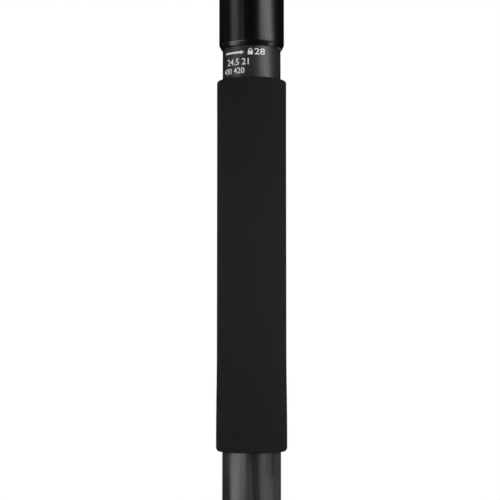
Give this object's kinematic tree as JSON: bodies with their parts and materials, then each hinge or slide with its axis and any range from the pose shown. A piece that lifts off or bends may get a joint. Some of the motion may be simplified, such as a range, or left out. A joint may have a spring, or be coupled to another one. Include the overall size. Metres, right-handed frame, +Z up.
{
  "type": "camera tripod",
  "caption": "Black camera tripod with tubular telescoping legs on twist locks, a foam-gripped leg that unscrews as a monopod, a lifting centre column and a ball head.",
  "frame": {"origin": "on the floor, under the centre column's axis", "axes": "+Z up along the centre column; +X from the column towards the foam-gripped leg, whose tubes lean 25 degrees outwards in the XZ plane"},
  "size_m": [0.439, 0.5028, 0.8112],
  "materials": {
    "cast_metal": "fine-textured powder coat over cast alloy",
    "black_anodised": "glossy black anodised",
    "upper_tube_finish": "satin dark lacquer over carbon fibre",
    "carbon": "clear-coated carbon fibre",
    "foam": "matte closed-cell foam",
    "lock_rubber": "matte ribbed rubber",
    "foot_rubber": "matte rubber",
    "guide_plastic": "self-lubricating plastic",
    "tab_alloy": "grey anodised",
    "polished_ball": "polished anodised",
    "knob_rubber": "matte rubber",
    "steel": "bright steel",
    "washer_plastic": "natural white plastic",
    "pad_rubber": "fine-ribbed rubber",
    "clamp_alloy": "matt black anodised"
  },
  "bodies": {
    "shoulder": {"shoulder": "cast_metal", "column_bushing": "guide_plastic", "pivot_bolts": "steel"},
    "column_ring": {"column_lock_ring": "knob_rubber"},
    "column": {"column_tube": "carbon", "column_plate": "black_anodised", "column_cap": "cast_metal", "head_base": "black_anodised"},
    "hook": {"weight_hook": "steel"},
    "head": {"ball_housing": "clamp_alloy", "ball_seat": "guide_plastic"},
    "ball_knob": {"ball_lock_knob": "knob_rubber"},
    "pan_knob": {"pan_lock_knob": "knob_rubber"},
    "ball": {"ball_stem": "polished_ball"},
    "clamp": {"clamp_base": "clamp_alloy"},
    "jaw": {"clamp_jaw": "clamp_alloy"},
    "jaw_knob": {"clamp_knob": "knob_rubber"},
    "quick_plate": {"camera_plate": "clamp_alloy", "plate_pad": "pad_rubber"},
    "plate_screw": {"camera_screw": "steel"},
    "leg_a": {"leg_a_casting": "cast_metal", "leg_a_collar": "black_anodised"},
    "leg_a_washer": {"leg_a_washer": "washer_plastic"},
    "leg_a_upper": {"leg_a_spigot": "tab_alloy", "leg_a_upper_tube": "upper_tube_finish", "leg_a_grip": "foam", "leg_a_collet_1": "guide_plastic"},
    "leg_a_stop": {"leg_a_stop_tab": "tab_alloy"},
    "leg_a_lock_1": {"leg_a_lock_1": "lock_rubber"},
    "leg_a_middle": {"leg_a_middle_tube": "carbon", "leg_a_middle_shim": "guide_plastic", "leg_a_collet_2": "guide_plastic"},
    "leg_a_lock_2": {"leg_a_lock_2": "lock_rubber"},
    "leg_a_lower": {"leg_a_lower_tube": "carbon", "leg_a_lower_shim": "guide_plastic", "leg_a_foot": "foot_rubber"},
    "leg_b": {"leg_b_casting": "cast_metal", "leg_b_upper_tube": "carbon", "leg_b_collet_1": "guide_plastic"},
    "leg_b_stop": {"leg_b_stop_tab": "tab_alloy"},
    "leg_b_lock_1": {"leg_b_lock_1": "lock_rubber"},
    "leg_b_middle": {"leg_b_middle_tube": "carbon", "leg_b_middle_shim": "guide_plastic", "leg_b_collet_2": "guide_plastic"},
    "leg_b_lock_2": {"leg_b_lock_2": "lock_rubber"},
    "leg_b_lower": {"leg_b_lower_tube": "carbon", "leg_b_lower_shim": "guide_plastic", "leg_b_foot": "foot_rubber"},
    "leg_c": {"leg_c_casting": "cast_metal", "leg_c_upper_tube": "carbon", "leg_c_collet_1": "guide_plastic"},
    "leg_c_stop": {"leg_c_stop_tab": "tab_alloy"},
    "leg_c_lock_1": {"leg_c_lock_1": "lock_rubber"},
    "leg_c_middle": {"leg_c_middle_tube": "carbon", "leg_c_middle_shim": "guide_plastic", "leg_c_collet_2": "guide_plastic"},
    "leg_c_lock_2": {"leg_c_lock_2": "lock_rubber"},
    "leg_c_lower": {"leg_c_lower_tube": "carbon", "leg_c_lower_shim": "guide_plastic", "leg_c_foot": "foot_rubber"}
  },
  "joints": [
    {"name": "column_ring_turn", "type": "hinge", "parent": "shoulder", "child": "column_ring", "pos_m": [0, 0, 0.52744], "axis": [0, 0, 1], "range_deg": [0, 150]},
    {"name": "column_slide", "type": "slide", "parent": "shoulder", "child": "column", "axis": [0, 0, 1], "range_m": [-0.165, 0.03]},
    {"name": "hook_pull", "type": "slide", "parent": "column", "child": "hook", "axis": [0, 0, -1], "range_m": [0, 0.012], "stiffness_N_per_m": 400, "springref_m": -0.003},
    {"name": "pan", "type": "hinge", "parent": "column", "child": "head", "pos_m": [0, 0, 0.72974], "axis": [0, 0, 1], "continuous": true},
    {"name": "ball_knob_turn", "type": "hinge", "parent": "head", "child": "ball_knob", "pos_m": [0, 0, 0.75174], "axis": [0, -1, 0], "range_deg": [0, 360]},
    {"name": "pan_knob_turn", "type": "hinge", "parent": "head", "child": "pan_knob", "pos_m": [0, 0, 0.73824], "axis": [-0.8192, 0.5736, 0], "range_deg": [0, 360]},
    {"name": "tilt", "type": "hinge", "parent": "head", "child": "ball", "pos_m": [0, 0, 0.75674], "axis": [0, 1, 0], "range_deg": [-40, 90]},
    {"name": "stem_turn", "type": "hinge", "parent": "ball", "child": "clamp", "pos_m": [0, 0, 0.75674], "axis": [0, 0, 1], "continuous": true},
    {"name": "jaw_slide", "type": "slide", "parent": "clamp", "child": "jaw", "axis": [1, 0, 0], "range_m": [0, 0.0024]},
    {"name": "jaw_knob_turn", "type": "hinge", "parent": "jaw", "child": "jaw_knob", "pos_m": [0.0265, 0, 0.79174], "axis": [1, 0, 0], "range_deg": [0, 1080]},
    {"name": "plate_slide", "type": "slide", "parent": "clamp", "child": "quick_plate", "axis": [0, 1, 0], "range_m": [0, 0.055]},
    {"name": "plate_screw_turn", "type": "hinge", "parent": "quick_plate", "child": "plate_screw", "pos_m": [0, 0, 0.80574], "axis": [0, 0, 1], "continuous": true},
    {"name": "leg_a_fold", "type": "hinge", "parent": "shoulder", "child": "leg_a", "pos_m": [0.045, 0, 0.50694], "axis": [0, 1, 0], "range_deg": [0, 25]},
    {"name": "leg_a_stop_pull", "type": "slide", "parent": "leg_a", "child": "leg_a_stop", "axis": [0.9063, 0, 0.4226], "range_m": [0, 0.007], "stiffness_N_per_m": 300, "springref_m": -0.004},
    {"name": "leg_a_unscrew_slide", "type": "slide", "parent": "leg_a", "child": "leg_a_washer", "axis": [0.4226, 0, -0.9063], "range_m": [0, 0.0165]},
    {"name": "leg_a_unscrew_turn", "type": "hinge", "parent": "leg_a_washer", "child": "leg_a_upper", "pos_m": [0.045, 0, 0.50694], "axis": [0.4226, 0, -0.9063], "range_deg": [0, 1980]},
    {"name": "leg_a_lock_1_turn", "type": "hinge", "parent": "leg_a_upper", "child": "leg_a_lock_1", "pos_m": [0.045, 0, 0.50694], "axis": [0.4226, 0, -0.9063], "range_deg": [0, 120]},
    {"name": "leg_a_middle_slide", "type": "slide", "parent": "leg_a_upper", "child": "leg_a_middle", "axis": [0.4226, 0, -0.9063], "range_m": [0, 0.3]},
    {"name": "leg_a_lock_2_turn", "type": "hinge", "parent": "leg_a_middle", "child": "leg_a_lock_2", "pos_m": [0.045, 0, 0.50694], "axis": [0.4226, 0, -0.9063], "range_deg": [0, 120]},
    {"name": "leg_a_lower_slide", "type": "slide", "parent": "leg_a_middle", "child": "leg_a_lower", "axis": [0.4226, 0, -0.9063], "range_m": [0, 0.3]},
    {"name": "leg_b_fold", "type": "hinge", "parent": "shoulder", "child": "leg_b", "pos_m": [-0.0225, 0.03897, 0.50694], "axis": [-0.866, -0.5, 0], "range_deg": [0, 25]},
    {"name": "leg_b_stop_pull", "type": "slide", "parent": "leg_b", "child": "leg_b_stop", "axis": [-0.4532, 0.7849, 0.4226], "range_m": [0, 0.007], "stiffness_N_per_m": 300, "springref_m": -0.004},
    {"name": "leg_b_lock_1_turn", "type": "hinge", "parent": "leg_b", "child": "leg_b_lock_1", "pos_m": [-0.0225, 0.03897, 0.50694], "axis": [-0.2113, 0.366, -0.9063], "range_deg": [0, 120]},
    {"name": "leg_b_middle_slide", "type": "slide", "parent": "leg_b", "child": "leg_b_middle", "axis": [-0.2113, 0.366, -0.9063], "range_m": [0, 0.3]},
    {"name": "leg_b_lock_2_turn", "type": "hinge", "parent": "leg_b_middle", "child": "leg_b_lock_2", "pos_m": [-0.0225, 0.03897, 0.50694], "axis": [-0.2113, 0.366, -0.9063], "range_deg": [0, 120]},
    {"name": "leg_b_lower_slide", "type": "slide", "parent": "leg_b_middle", "child": "leg_b_lower", "axis": [-0.2113, 0.366, -0.9063], "range_m": [0, 0.3]},
    {"name": "leg_c_fold", "type": "hinge", "parent": "shoulder", "child": "leg_c", "pos_m": [-0.0225, -0.03897, 0.50694], "axis": [0.866, -0.5, 0], "range_deg": [0, 25]},
    {"name": "leg_c_stop_pull", "type": "slide", "parent": "leg_c", "child": "leg_c_stop", "axis": [-0.4532, -0.7849, 0.4226], "range_m": [0, 0.007], "stiffness_N_per_m": 300, "springref_m": -0.004},
    {"name": "leg_c_lock_1_turn", "type": "hinge", "parent": "leg_c", "child": "leg_c_lock_1", "pos_m": [-0.0225, -0.03897, 0.50694], "axis": [-0.2113, -0.366, -0.9063], "range_deg": [0, 120]},
    {"name": "leg_c_middle_slide", "type": "slide", "parent": "leg_c", "child": "leg_c_middle", "axis": [-0.2113, -0.366, -0.9063], "range_m": [0, 0.3]},
    {"name": "leg_c_lock_2_turn", "type": "hinge", "parent": "leg_c_middle", "child": "leg_c_lock_2", "pos_m": [-0.0225, -0.03897, 0.50694], "axis": [-0.2113, -0.366, -0.9063], "range_deg": [0, 120]},
    {"name": "leg_c_lower_slide", "type": "slide", "parent": "leg_c_middle", "child": "leg_c_lower", "axis": [-0.2113, -0.366, -0.9063], "range_m": [0, 0.3]}
  ],
  "couplings": [
    {"joint": "jaw_knob_turn", "follows": "jaw_slide", "rad_per_m": 7854},
    {"joint": "leg_a_unscrew_slide", "follows": "leg_a_unscrew_turn", "m_per_rad": 0.00047746}
  ]
}
